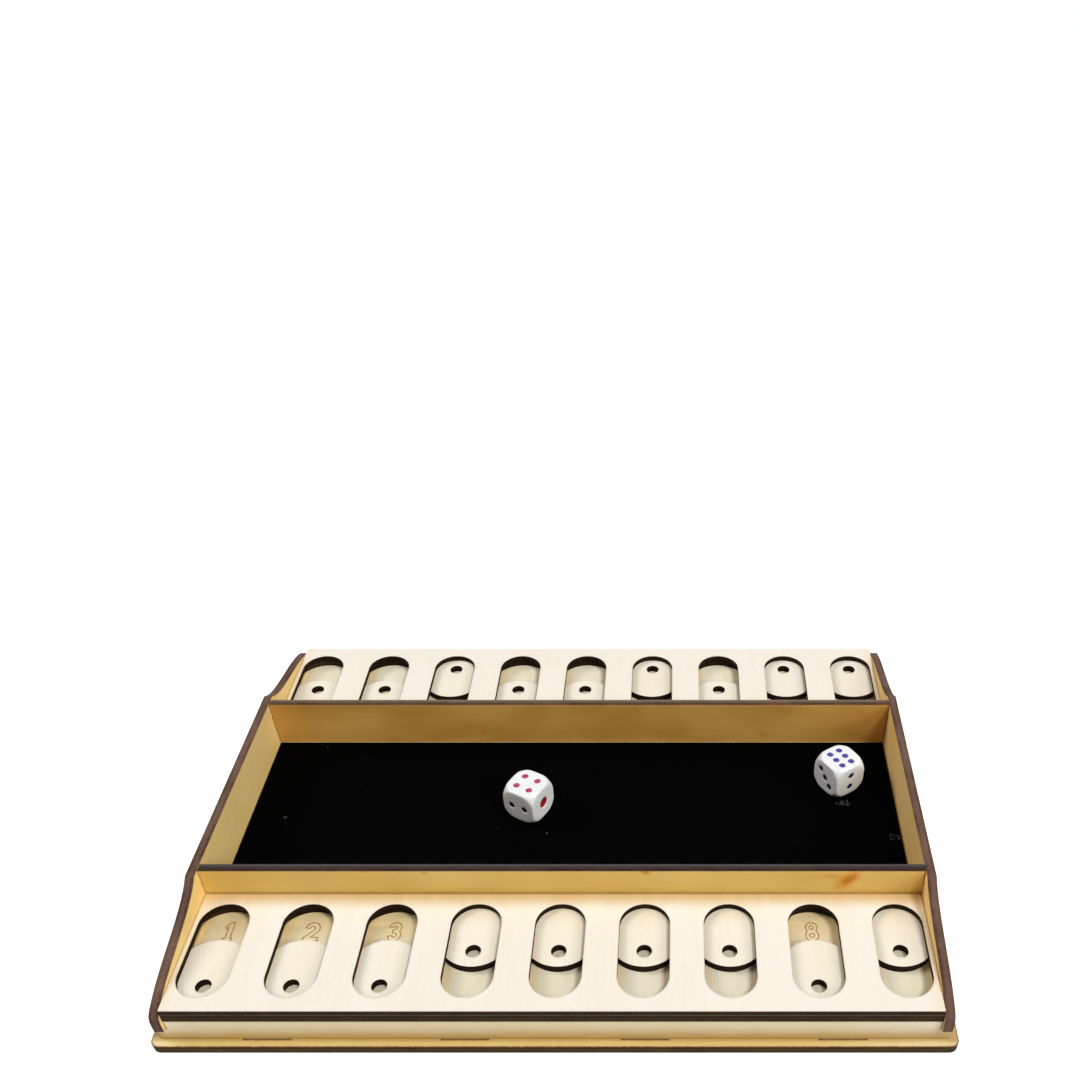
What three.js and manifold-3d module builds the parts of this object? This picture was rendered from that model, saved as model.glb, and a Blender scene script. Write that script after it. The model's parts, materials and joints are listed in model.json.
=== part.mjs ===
// Wooden two player number game: a tray for two dice between two rows of nine sliding covers.
// Millimetres, +X to the right, +Y to the rear, +Z up, origin at the middle of the base's underside.

import * as THREE from 'three';
import { mergeVertices } from 'three/addons/utils/BufferGeometryUtils.js';
import { RoundedBoxGeometry } from 'three/addons/geometries/RoundedBoxGeometry.js';
import Module from 'manifold-3d';

const wasm = await Module();
wasm.setup();

// Driving dimensions of the box
const innerWidth = 238;
const trayDepth = 81.5;
const boxHeight = 28.4;
const sheet = 3.1;
const windowSheet = 2.2;
const feltThickness = 0.3;
const fitGap = 0.15;
const cutOverrun = 1;

// Base and the walls that stand in it
const ledge = 3;
const baseCornerRadius = 3;
const tabWidth = 14;
const crossTabShares = [-0.75, -0.235, 0.235, 0.75];
const lengthTabShares = [-0.65, 0, 0.65];
const fingerShare = 0.58;
const partitionTabShare = 0.34;
const supportWidth = 10;
const feltMargin = 0.5;

// Outline of the side walls: flat over the tray, a long scoop, then a rounded nose
const shoulderReach = 2.15;
const kneeSetback = 4.3;
const kneeDrop = 0.1;
const noseOverhang = 1.2;
const noseDrop = 6.1;
const scoopShares = { firstRun: 0.2, firstDrop: 0.6, secondRun: 0.69, secondDrop: 0.59 };
const noseShares = { firstRun: 0.81, firstDrop: 0.26, secondDrop: 0.34 };

// Sliding covers, the channels that they run in and the windows above them
const coversPerSide = 9;
const sliderLength = 24;
const sliderWidth = 19.2;
const sliderTravel = 13.4;
const crownRise = 5;
const slideClearance = 0.3;
const headroom = 0.2;
const fingerHoleRadius = 2.45;
const fingerHoleInset = 6.1;
const channelSetback = 4.05;
const channelRim = 4.6;
const sliderLap = 1.45;
const windowInnerLap = 0.95;
const windowOuterLap = 0.45;
const frontOpenNumbers = [1, 2, 3, 8];
const rearOpenNumbers = [1, 2, 4, 7];

// Dice
const dieSize = 13.4;
const dieEdgeRadius = 0.5;
const dieCornerRadius = 9.75;
const pipRadius = 1.15;
const pipDepth = 0.5;
const acePipRadius = 2;
const acePipDepth = 0.8;
const pipSpacing = 2.7;
const sixRowSpacing = 3.5;
const sixRowOffset = 2.1;
const diceTurns = [-28.9, -56.8];
const dicePlaceShares = [[-0.1393, 0.0788], [0.8249, 0.4106]];

// Fineness of curved outlines and of the dice
const arcSteps = 8;
const sliderArcSteps = 6;
const dieEdgeSteps = 2;
const dieRings = [28, 18];
const pipRings = [10, 7];

// Heights of the layers, worked out from the sheets
const baseTop = sheet;
const supportTop = baseTop + sheet;
const floorTop = supportTop + sheet;
const feltTop = floorTop + feltThickness;
const numberTop = floorTop + sheet;
const channelTop = numberTop + sheet;
const panelTop = channelTop + windowSheet;

// Widths along X
const innerHalf = innerWidth / 2;
const outerHalf = innerHalf + sheet;
const boardHalf = innerHalf - fitGap;
const baseHalfWidth = outerHalf + ledge;
const channelHalf = sliderWidth / 2 + slideClearance;
const windowHalf = sliderWidth / 2 - sliderLap;
const pitch = (innerWidth - 2 * channelHalf) / (coversPerSide - 1);

// Depths along Y, measured from the middle of the tray towards each player
const partitionInner = trayDepth / 2;
const partitionOuter = partitionInner + sheet;
const bandStart = partitionOuter + fitGap;
const channelStart = partitionOuter + channelSetback;
const channelEnd = channelStart + sliderLength + sliderTravel + 2 * slideClearance;
const wallOuter = channelEnd + channelRim;
const wallInner = wallOuter - sheet;
const baseHalfDepth = wallOuter + ledge;
const windowStart = channelStart + windowInnerLap;
const windowEnd = channelEnd - windowOuterLap;
const coveringPlace = channelStart + slideClearance + sliderLength / 2;
const openPlace = coveringPlace + sliderTravel;

// Crowned ends: the sliders' own radius, and the channels' round the same centres
const crownRadius = (sliderWidth * sliderWidth / 4 + crownRise * crownRise) / (2 * crownRise);
const channelCrownRadius = crownRadius + slideClearance;

const crossTabs = crossTabShares.map((share) => share * innerHalf);
const lengthTabs = lengthTabShares.map((share) => share * wallInner);
const fingerTop = baseTop + fingerShare * (numberTop - baseTop);
const partitionMiddle = (floorTop + boxHeight) / 2;
const partitionTabHalf = partitionTabShare * (boxHeight - floorTop) / 2;

function finish(color, roughness) {
  return new THREE.MeshStandardMaterial({ color, roughness, metalness: 0 });
}

const materials = {
  paleSheet: () => finish(0xf4e6cb, 0.6),
  boardSheet: () => finish(0xe6cf9c, 0.6),
  wallSheet: () => finish(0xd9b878, 0.6),
  felt: () => finish(0x0a0a0c, 0.95),
  dicePlastic: () => finish(0xf5f5f2, 0.25),
};

const game = new THREE.Group();

function addPart(name, geometry, material, x = 0, y = 0, z = 0) {
  const mesh = new THREE.Mesh(geometry, material());
  mesh.name = name;
  mesh.position.set(x, y, z);
  game.add(mesh);
  return mesh;
}

function solidFrom(geometry) {
  const bare = geometry.clone();
  bare.deleteAttribute('normal');
  bare.deleteAttribute('uv');
  const merged = mergeVertices(bare);
  return new wasm.Manifold(new wasm.Mesh({
    numProp: 3,
    vertProperties: new Float32Array(merged.attributes.position.array),
    triVerts: new Uint32Array(merged.index.array),
  }));
}

function geometryFrom(solid) {
  const mesh = solid.getMesh();
  const geometry = new THREE.BufferGeometry();
  geometry.setAttribute('position', new THREE.BufferAttribute(new Float32Array(mesh.vertProperties), 3));
  geometry.setIndex(new THREE.BufferAttribute(new Uint32Array(mesh.triVerts), 1));
  geometry.computeVertexNormals();
  return geometry;
}

// A sheet that lies flat: its outline is drawn in X and Y, and its underside is at z = 0
function lyingSheet(outline, thickness, curveSegments = arcSteps) {
  return new THREE.ExtrudeGeometry(outline, { depth: thickness, bevelEnabled: false, curveSegments });
}

// The same sheet with each opening cut right through it
function piercedSheet(outline, thickness, openings, curveSegments = arcSteps) {
  let solid = solidFrom(lyingSheet(outline, thickness, curveSegments));
  for (const opening of openings) {
    const cutter = lyingSheet(opening, thickness + 2 * cutOverrun, curveSegments);
    cutter.translate(0, 0, -cutOverrun);
    solid = solid.subtract(solidFrom(cutter));
  }
  return geometryFrom(solid);
}

// Stands a sheet across the box: its outline's Y becomes Z, and its front face is at y = 0
function standAcross(geometry) {
  geometry.rotateX(Math.PI / 2);
  geometry.translate(0, sheet, 0);
  return geometry;
}

// Stands a sheet along the box: its outline's X and Y become Y and Z, and its left face is at x = 0
function standAlong(geometry) {
  geometry.rotateX(Math.PI / 2);
  geometry.rotateZ(Math.PI / 2);
  return geometry;
}

function rectangle(centreX, centreY, width, height) {
  const outline = new THREE.Shape();
  outline.moveTo(centreX - width / 2, centreY - height / 2);
  outline.lineTo(centreX + width / 2, centreY - height / 2);
  outline.lineTo(centreX + width / 2, centreY + height / 2);
  outline.lineTo(centreX - width / 2, centreY + height / 2);
  return outline;
}

// A strip of the full width between the side walls, from one depth to another
function strip(start, end) {
  return rectangle(0, (start + end) / 2, 2 * boardHalf, end - start);
}

// A straight sided outline with two bowed ends, along Y; with radius = halfWidth it is a stadium
function crownedOutline(centreX, start, end, halfWidth, radius) {
  const corner = Math.acos(halfWidth / radius);
  const outline = new THREE.Shape();
  outline.absarc(centreX, start + radius, radius, corner - Math.PI, -corner, false);
  outline.absarc(centreX, end - radius, radius, corner, Math.PI - corner, false);
  return outline;
}

function coverCentres() {
  const middle = (coversPerSide - 1) / 2;
  return Array.from({ length: coversPerSide }, (_, index) => (index - middle) * pitch);
}

// The lower edge of a standing sheet, with tabs that reach down through the base
function lowerEdgeWithTabs(path, half, tabCentres) {
  path.moveTo(-half, baseTop);
  for (const centre of tabCentres) {
    path.lineTo(centre - tabWidth / 2, baseTop);
    path.lineTo(centre - tabWidth / 2, 0);
    path.lineTo(centre + tabWidth / 2, 0);
    path.lineTo(centre + tabWidth / 2, baseTop);
  }
  path.lineTo(half, baseTop);
}

// Base plate with rounded corners and a slot for each tab of the walls
function basePlate() {
  const right = baseHalfWidth - baseCornerRadius;
  const rear = baseHalfDepth - baseCornerRadius;
  const outline = new THREE.Shape();
  outline.absarc(right, rear, baseCornerRadius, 0, Math.PI / 2, false);
  outline.absarc(-right, rear, baseCornerRadius, Math.PI / 2, Math.PI, false);
  outline.absarc(-right, -rear, baseCornerRadius, Math.PI, 1.5 * Math.PI, false);
  outline.absarc(right, -rear, baseCornerRadius, 1.5 * Math.PI, 2 * Math.PI, false);
  const slotLength = tabWidth + 2 * fitGap;
  const slotWidth = sheet + 2 * fitGap;
  const slots = [-1, 1].flatMap((side) => [
    ...crossTabs.map((place) => rectangle(place, side * (wallInner + sheet / 2), slotLength, slotWidth)),
    ...lengthTabs.map((place) => rectangle(side * (innerHalf + sheet / 2), place, slotWidth, slotLength)),
  ]);
  return piercedSheet(outline, sheet, slots);
}

// Wall under a player's edge: full width below, between the side walls above the finger joint
function endWall() {
  const outline = new THREE.Shape();
  lowerEdgeWithTabs(outline, outerHalf, crossTabs);
  outline.lineTo(outerHalf, fingerTop);
  outline.lineTo(boardHalf, fingerTop);
  outline.lineTo(boardHalf, numberTop);
  outline.lineTo(-boardHalf, numberTop);
  outline.lineTo(-boardHalf, fingerTop);
  outline.lineTo(-outerHalf, fingerTop);
  return standAcross(lyingSheet(outline, sheet));
}

// Upright between the tray and a row of covers, with a tab through each side wall
function partition() {
  const low = partitionMiddle - partitionTabHalf;
  const high = partitionMiddle + partitionTabHalf;
  const outline = new THREE.Shape();
  outline.moveTo(-boardHalf, floorTop);
  outline.lineTo(boardHalf, floorTop);
  outline.lineTo(boardHalf, low);
  outline.lineTo(outerHalf, low);
  outline.lineTo(outerHalf, high);
  outline.lineTo(boardHalf, high);
  outline.lineTo(boardHalf, boxHeight);
  outline.lineTo(-boardHalf, boxHeight);
  outline.lineTo(-boardHalf, high);
  outline.lineTo(-outerHalf, high);
  outline.lineTo(-outerHalf, low);
  outline.lineTo(-boardHalf, low);
  return standAcross(lyingSheet(outline, sheet));
}

// Side wall with its scooped ends, a notch for each end wall and a slot for each partition
function sideWall() {
  const shoulder = partitionOuter + shoulderReach;
  const knee = wallOuter - kneeSetback;
  const nose = wallOuter + noseOverhang;
  const kneeHeight = panelTop - kneeDrop;
  const noseHeight = kneeHeight - noseDrop;
  const notchTop = fingerTop + fitGap;
  const foot = wallInner - fitGap;
  const scoopRun = knee - shoulder;
  const scoopDrop = boxHeight - kneeHeight;
  const scoopHigh = [
    shoulder + scoopShares.firstRun * scoopRun,
    boxHeight - scoopShares.firstDrop * scoopDrop,
  ];
  const scoopLow = [
    shoulder + scoopShares.secondRun * scoopRun,
    boxHeight - scoopShares.secondDrop * scoopDrop,
  ];
  const noseHigh = [
    knee + noseShares.firstRun * (nose - knee),
    kneeHeight - noseShares.firstDrop * noseDrop,
  ];
  const noseLow = [nose, kneeHeight - noseShares.secondDrop * noseDrop];

  const outline = new THREE.Shape();
  lowerEdgeWithTabs(outline, foot, lengthTabs);
  outline.lineTo(foot, notchTop);
  outline.lineTo(nose, notchTop);
  outline.lineTo(nose, noseHeight);
  outline.bezierCurveTo(...noseLow, ...noseHigh, knee, kneeHeight);
  outline.bezierCurveTo(...scoopLow, ...scoopHigh, shoulder, boxHeight);
  outline.lineTo(-shoulder, boxHeight);
  outline.bezierCurveTo(-scoopHigh[0], scoopHigh[1], -scoopLow[0], scoopLow[1], -knee, kneeHeight);
  outline.bezierCurveTo(-noseHigh[0], noseHigh[1], -noseLow[0], noseLow[1], -nose, noseHeight);
  outline.lineTo(-nose, notchTop);
  outline.lineTo(-foot, notchTop);

  const slotHeight = 2 * (partitionTabHalf + fitGap);
  const slots = [-1, 1].map((side) => (
    rectangle(side * (partitionInner + sheet / 2), partitionMiddle, sheet + 2 * fitGap, slotHeight)
  ));
  return standAlong(piercedSheet(outline, sheet, slots));
}

// Layer that the covers run in; the two end channels open towards the side walls, which close them
function channelLayer() {
  const channels = coverCentres().map((centre) => (
    crownedOutline(centre, channelStart, channelEnd, channelHalf, channelCrownRadius)
  ));
  return piercedSheet(strip(bandStart, wallOuter), sheet, channels, sliderArcSteps);
}

// Thin top sheet with a round ended window over each channel
function windowPanel() {
  const windows = coverCentres().map((centre) => (
    crownedOutline(centre, windowStart, windowEnd, windowHalf, windowHalf)
  ));
  return piercedSheet(strip(bandStart, wallOuter), windowSheet, windows);
}

// Sliding cover with bowed ends and a finger hole near its outer end
function slider() {
  const half = sliderLength / 2;
  const outline = crownedOutline(0, -half, half, sliderWidth / 2, crownRadius);
  const hole = new THREE.Path();
  hole.absarc(0, half - fingerHoleInset, fingerHoleRadius, 0, 2 * Math.PI, false);
  outline.holes.push(hole);
  return lyingSheet(outline, sheet - headroom, sliderArcSteps);
}

// Where the pips of a face lie, across it and up it
function pipPlaces(value) {
  const s = pipSpacing;
  const corners = [[-s, s], [s, -s], [s, s], [-s, -s]];
  const layouts = {
    1: [[0, 0]],
    2: [[-s, 0], [s, 0]],
    3: [corners[0], [0, 0], corners[1]],
    4: corners,
    5: [...corners, [0, 0]],
    6: [-1, 0, 1].flatMap((step) => [-1, 1].map((row) => [step * sixRowSpacing, row * sixRowOffset])),
  };
  return layouts[value];
}

// A ball that leaves a dimple of the stated radius and depth in a face of the die
function dimple(normal, place, radius, depth) {
  const ballRadius = (radius * radius + depth * depth) / (2 * depth);
  const geometry = new THREE.SphereGeometry(ballRadius, ...pipRings);
  geometry.applyQuaternion(new THREE.Quaternion().setFromUnitVectors(new THREE.Vector3(0, 1, 0), normal));
  const centre = normal.clone().multiplyScalar(dieSize / 2 + ballRadius - depth).add(place);
  geometry.translate(centre.x, centre.y, centre.z);
  return solidFrom(geometry);
}

// Die with edges slightly rounded, corners cut by a ball, and a dimple for each pip
function die(faces) {
  const cube = new RoundedBoxGeometry(dieSize, dieSize, dieSize, dieEdgeSteps, dieEdgeRadius);
  const ball = new THREE.SphereGeometry(dieCornerRadius, ...dieRings);
  let solid = solidFrom(cube).intersect(solidFrom(ball));
  for (const { value, normal, across } of faces) {
    const up = normal.clone().cross(across);
    const radius = value === 1 ? acePipRadius : pipRadius;
    const depth = value === 1 ? acePipDepth : pipDepth;
    for (const [u, v] of pipPlaces(value)) {
      const place = across.clone().multiplyScalar(u).add(up.clone().multiplyScalar(v));
      solid = solid.subtract(dimple(normal, place, radius, depth));
    }
  }
  return geometryFrom(solid);
}

// Values on a die's faces, for the sides that the photograph shows and their opposites
function dieFaces(right, rear, top, rightAcross) {
  const x = new THREE.Vector3(1, 0, 0);
  const y = new THREE.Vector3(0, 1, 0);
  const z = new THREE.Vector3(0, 0, 1);
  const opposite = 7;
  return [
    { value: right, normal: x, across: rightAcross },
    { value: opposite - right, normal: x.clone().negate(), across: y },
    { value: rear, normal: y, across: x },
    { value: opposite - rear, normal: y.clone().negate(), across: x },
    { value: top, normal: z, across: x },
    { value: opposite - top, normal: z.clone().negate(), across: x },
  ];
}

// Box: base, supports, floor and walls
addPart('base_plate', basePlate(), materials.paleSheet);
const boardEnd = wallInner - fitGap;
const partitionCentre = partitionInner + sheet / 2;
const supportCentres = [-boardEnd + supportWidth / 2, -partitionCentre, partitionCentre, boardEnd - supportWidth / 2];
supportCentres.forEach((centre, index) => {
  const outline = strip(centre - supportWidth / 2, centre + supportWidth / 2);
  addPart(`support_strip_${index + 1}`, lyingSheet(outline, sheet), materials.boardSheet, 0, 0, baseTop);
});
addPart('floor_board', lyingSheet(strip(-boardEnd, boardEnd), sheet), materials.boardSheet, 0, 0, supportTop);
const feltOutline = rectangle(0, 0, innerWidth - 2 * feltMargin, trayDepth - 2 * feltMargin);
addPart('tray_felt', lyingSheet(feltOutline, feltThickness), materials.felt, 0, 0, floorTop);
addPart('side_wall_left', sideWall(), materials.wallSheet, -outerHalf);
addPart('side_wall_right', sideWall(), materials.wallSheet, innerHalf);

// Both players' halves are alike: the front one is the rear one turned half a turn about Z
const halves = [
  { name: 'front', side: -1, openNumbers: frontOpenNumbers },
  { name: 'rear', side: 1, openNumbers: rearOpenNumbers },
];

for (const { name, side, openNumbers } of halves) {
  const turned = (geometry) => (side < 0 ? geometry.rotateZ(Math.PI) : geometry);
  const standing = (inner, outer) => (side < 0 ? -outer : inner);
  addPart(`${name}_wall`, endWall(), materials.wallSheet, 0, standing(wallInner, wallOuter));
  addPart(`${name}_partition`, partition(), materials.wallSheet, 0, standing(partitionInner, partitionOuter));
  const numberBoard = lyingSheet(strip(bandStart, boardEnd), sheet);
  addPart(`${name}_number_board`, turned(numberBoard), materials.boardSheet, 0, 0, floorTop);
  addPart(`${name}_channel_layer`, turned(channelLayer()), materials.paleSheet, 0, 0, numberTop);
  addPart(`${name}_window_panel`, turned(windowPanel()), materials.paleSheet, 0, 0, channelTop);
  coverCentres().forEach((centre, index) => {
    const number = index + 1;
    const depth = openNumbers.includes(number) ? openPlace : coveringPlace;
    addPart(`${name}_slider_${number}`, turned(slider()), materials.paleSheet,
      -side * centre, side * depth, numberTop);
  });
}

// Dice on the felt, turned as they were thrown
const dice = [
  dieFaces(1, 5, 4, new THREE.Vector3(0, 1, 0)),
  dieFaces(2, 4, 6, new THREE.Vector3(0, 0, 1)),
];
dice.forEach((faces, index) => {
  const [xShare, yShare] = dicePlaceShares[index];
  const mesh = addPart(`die_${index + 1}`, die(faces), materials.dicePlastic,
    xShare * innerHalf, yShare * partitionInner, feltTop + dieSize / 2);
  mesh.rotation.z = THREE.MathUtils.degToRad(diceTurns[index]);
});

export default game;
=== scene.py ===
# Wooden number game for two players: two dice in a felt lined tray, between two rows of nine
# sliding covers that hide the numbers 1 to 9. The frame is in metres, +X to the right, +Y to the
# rear and +Z up. Outlines here are drawn in millimetres and turned into metres as a mesh is made.

import itertools
import json
import math
import random

import bmesh
import bpy
from mathutils import Matrix, Vector, noise
from mathutils.geometry import delaunay_2d_cdt


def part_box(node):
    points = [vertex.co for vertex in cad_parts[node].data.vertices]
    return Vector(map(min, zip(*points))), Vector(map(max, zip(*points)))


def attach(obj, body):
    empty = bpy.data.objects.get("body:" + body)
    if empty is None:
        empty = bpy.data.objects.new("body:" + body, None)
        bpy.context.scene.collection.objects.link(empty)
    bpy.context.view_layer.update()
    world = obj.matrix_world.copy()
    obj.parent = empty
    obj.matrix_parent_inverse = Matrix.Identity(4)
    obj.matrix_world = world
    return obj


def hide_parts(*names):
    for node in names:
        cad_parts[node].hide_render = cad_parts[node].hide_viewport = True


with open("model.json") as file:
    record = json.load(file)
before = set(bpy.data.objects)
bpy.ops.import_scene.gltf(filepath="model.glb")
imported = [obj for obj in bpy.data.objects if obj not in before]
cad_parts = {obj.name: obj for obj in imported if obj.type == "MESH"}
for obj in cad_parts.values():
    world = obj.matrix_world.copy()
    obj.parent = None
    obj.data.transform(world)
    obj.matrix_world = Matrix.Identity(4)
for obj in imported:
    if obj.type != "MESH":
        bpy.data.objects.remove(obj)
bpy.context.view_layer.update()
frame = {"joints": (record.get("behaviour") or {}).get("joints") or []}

MM = 0.001
X, Y, Z = range(3)
UNIT_X, UNIT_Y, UNIT_Z = Vector((1, 0, 0)), Vector((0, 1, 0)), Vector((0, 0, 1))
SIDES = ("front", "rear")


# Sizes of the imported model, in millimetres


def low(node, axis):
    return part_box(node)[0][axis] / MM


def high(node, axis):
    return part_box(node)[1][axis] / MM


def middle(node, axis):
    return (low(node, axis) + high(node, axis)) / 2


SHEET = high("base_plate", Z)
BASE_HALF_WIDTH = high("base_plate", X)
BASE_HALF_DEPTH = high("base_plate", Y)
INNER_HALF = low("side_wall_right", X)
OUTER_HALF = high("side_wall_right", X)
BOARD_HALF = high("floor_board", X)
BOX_HEIGHT = high("rear_partition", Z)
FLOOR_TOP = high("floor_board", Z)
NUMBER_TOP = high("rear_number_board", Z)
PANEL_TOP = high("rear_window_panel", Z)
PARTITION_INNER = low("rear_partition", Y)
PARTITION_OUTER = high("rear_partition", Y)
WALL_INNER = low("rear_wall", Y)
WALL_OUTER = high("rear_wall", Y)
BAND_START = low("rear_window_panel", Y)
COVER_HALF_WIDTH = (high("rear_slider_5", X) - low("rear_slider_5", X)) / 2
COVER_LENGTH = high("rear_slider_5", Y) - low("rear_slider_5", Y)
COVERS_PER_SIDE = 9
SUPPORT_STRIPS = 4
PITCH = (middle("rear_slider_1", X) - middle("rear_slider_9", X)) / (COVERS_PER_SIDE - 1)
ROW_PLACES = [(index - (COVERS_PER_SIDE - 1) / 2) * PITCH for index in range(COVERS_PER_SIDE)]
COVERING_PLACE = middle("rear_slider_5", Y)
COVER_TRAVEL = max(joint["range_m"][1] for joint in frame["joints"] if "cover" in joint["name"]) / MM

# Sizes that the outlines share with the model, in millimetres
FIT_GAP = 0.15
SLIDE_CLEARANCE = 0.3
BASE_CORNER_RADIUS = 3
BASE_CORNER_STEPS = 10
TAB_WIDTH = 14
CROSS_TAB_SHARES = (-0.75, -0.235, 0.235, 0.75)
LENGTH_TAB_SHARES = (-0.65, 0, 0.65)
FINGER_SHARE = 0.58
PARTITION_TAB_SHARE = 0.34
CROWN_RISE = 5
COVER_LAP = 1.45
WINDOW_INNER_LAP = 0.95
WINDOW_OUTER_LAP = 0.45
FINGER_HOLE_RADIUS = 2.45
FINGER_HOLE_INSET = 6.1
FINGER_HOLE_POINTS = 36
SHOULDER_REACH = 2.15
KNEE_SETBACK = 4.3
KNEE_DROP = 0.1
NOSE_OVERHANG = 1.2
NOSE_DROP = 6.1
SCOOP_SHARES = ((0.2, 0.6), (0.69, 0.59))
NOSE_SHARES = ((0.81, 0.26), (1, 0.34))

CHANNEL_HALF = COVER_HALF_WIDTH + SLIDE_CLEARANCE
CHANNEL_START = COVERING_PLACE - COVER_LENGTH / 2 - SLIDE_CLEARANCE
CHANNEL_END = CHANNEL_START + COVER_LENGTH + COVER_TRAVEL + 2 * SLIDE_CLEARANCE
WINDOW_HALF = COVER_HALF_WIDTH - COVER_LAP
CROWN_RADIUS = (COVER_HALF_WIDTH**2 + CROWN_RISE**2) / (2 * CROWN_RISE)
FINGER_TOP = SHEET + FINGER_SHARE * (NUMBER_TOP - SHEET)
PARTITION_MIDDLE = (FLOOR_TOP + BOX_HEIGHT) / 2
PARTITION_TAB_HALF = PARTITION_TAB_SHARE * (BOX_HEIGHT - FLOOR_TOP) / 2

# Play under a cover, so that it slides clear of the board below it
COVER_PLAY = 0.02

# Laser cut edges: a slight round, then a band of scorched face beside it
EDGE_ROUND = 0.12
SCORCH_REACH = 0.9
CHANNEL_SCORCH = 0.2
WINDOW_SCORCH = 0.7

# Fineness of outlines and meshes; the sharpest fold that still shades smoothly is in degrees
ARC_STEPS = 28
CURVE_STEPS = 20
SHORTEST_STEP = 0.03
SMOOTH_BELOW = 38
SAME_PLACE = 1e-7

# Scored numbers
DIGIT_HEIGHT = 7.9
DIGIT_WIDTH = 5.8
DIGIT_PLACE = 56.0
DIGIT_SCALE = (0.9, 0.96)
SCORE_HALF_WIDTH = 0.19
SCORE_DEPTH = 0.14


# Materials


def tint(red, green, blue):
    """A colour as a screen shows it, 0 to 255, turned into the light that it stands for."""
    def light(level):
        share = level / 255
        return share / 12.92 if share <= 0.04045 else ((share + 0.055) / 1.055) ** 2.4
    return light(red), light(green), light(blue), 1.0


class Wire:
    """A value on its way through a finish; arithmetic on it adds the nodes that it needs."""

    def __init__(self, finish, socket):
        self.finish = finish
        self.socket = socket

    def combined(self, operation, first, second):
        types = [part.socket.type for part in (first, second) if isinstance(part, Wire)]
        kind = "VectorMath" if "VECTOR" in types else "Math"
        return self.finish.node(kind, {"operation": operation}, {0: first, 1: second})

    def __add__(self, other):
        return self.combined("ADD", self, other)

    def __radd__(self, other):
        return self.combined("ADD", other, self)

    def __sub__(self, other):
        return self.combined("SUBTRACT", self, other)

    def __rsub__(self, other):
        return self.combined("SUBTRACT", other, self)

    def __mul__(self, other):
        return self.combined("MULTIPLY", self, other)

    def __rmul__(self, other):
        return self.combined("MULTIPLY", other, self)

    def __truediv__(self, other):
        return self.combined("DIVIDE", self, other)

    def __rtruediv__(self, other):
        return self.combined("DIVIDE", other, self)

    def ranged(self, start, end):
        """Goes smoothly from 0 to 1 as this value goes from start to end."""
        inputs = {"Value": self, "From Min": start, "From Max": end}
        return self.finish.node("MapRange", {"interpolation_type": "SMOOTHSTEP"}, inputs)

    def length(self):
        return self.finish.node("VectorMath", {"operation": "LENGTH"}, {0: self}, "Value")


class Nodes:
    """The nodes of a material or of the surround, with one shader whose sockets take numbers or wires."""

    def __init__(self, owner, shader):
        owner.use_nodes = True
        self.tree = owner.node_tree
        self.shader = self.tree.nodes[shader]

    def plug(self, socket, value):
        if isinstance(value, Wire):
            self.tree.links.new(value.socket, socket)
            return
        size = len(socket.default_value) if hasattr(socket.default_value, "__len__") else 0
        if size and not hasattr(value, "__len__"):
            value = (value,) * size
        socket.default_value = value

    def find(self, sockets, key):
        if isinstance(key, int):
            return sockets[key]
        return next(socket for socket in sockets if key in (socket.identifier, socket.name))

    def node(self, kind, settings, inputs, output=0):
        """Adds a node of a type, sets it up, fills its sockets and gives its output."""
        made = self.tree.nodes.new("ShaderNode" + kind)
        for name, value in settings.items():
            setattr(made, name, value)
        for key, value in inputs.items():
            self.plug(self.find(made.inputs, key), value)
        return Wire(self, self.find(made.outputs, output))

    def set(self, **sockets):
        for name, value in sockets.items():
            self.plug(self.shader.inputs[name.replace("_", " ")], value)

    def attribute(self, name, output="Vector"):
        return self.node("Attribute", {"attribute_name": name}, {}, output)

    def noise(self, place, scale=1.0, detail=2.0, roughness=0.5, distortion=0.0):
        inputs = {"Scale": scale, "Detail": detail, "Roughness": roughness, "Distortion": distortion}
        return self.node("TexNoise", {}, {"Vector": place, **inputs}, "Fac")

    def mix(self, factor, first, second):
        return self.node(
            "Mix",
            {"data_type": "RGBA"},
            {"Factor_Float": factor, "A_Color": first, "B_Color": second},
            "Result_Color",
        )

    def background_ray(self):
        """1 where the camera sees the stage, straight, in a reflection or through glass."""
        kinds = ("Camera", "Glossy", "Transmission")
        rays = [self.node("LightPath", {}, {}, f"Is {kind} Ray") for kind in kinds]
        return rays[0] + rays[1] + rays[2]


class Finish(Nodes):
    """A material under construction; the sockets that stay even over it are named when it is begun."""

    def __init__(self, name, **fixed):
        self.material = bpy.data.materials.new(name)
        super().__init__(self.material, "Principled BSDF")
        self.set(**fixed)

    def relief(self, height, depth):
        """Bumps the surface by a height between 0 and 1 that stands for a depth in metres."""
        inputs = {"Height": height, "Distance": depth, "Strength": 1.0}
        self.set(Normal=self.node("Bump", {}, inputs, "Normal"))


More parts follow.
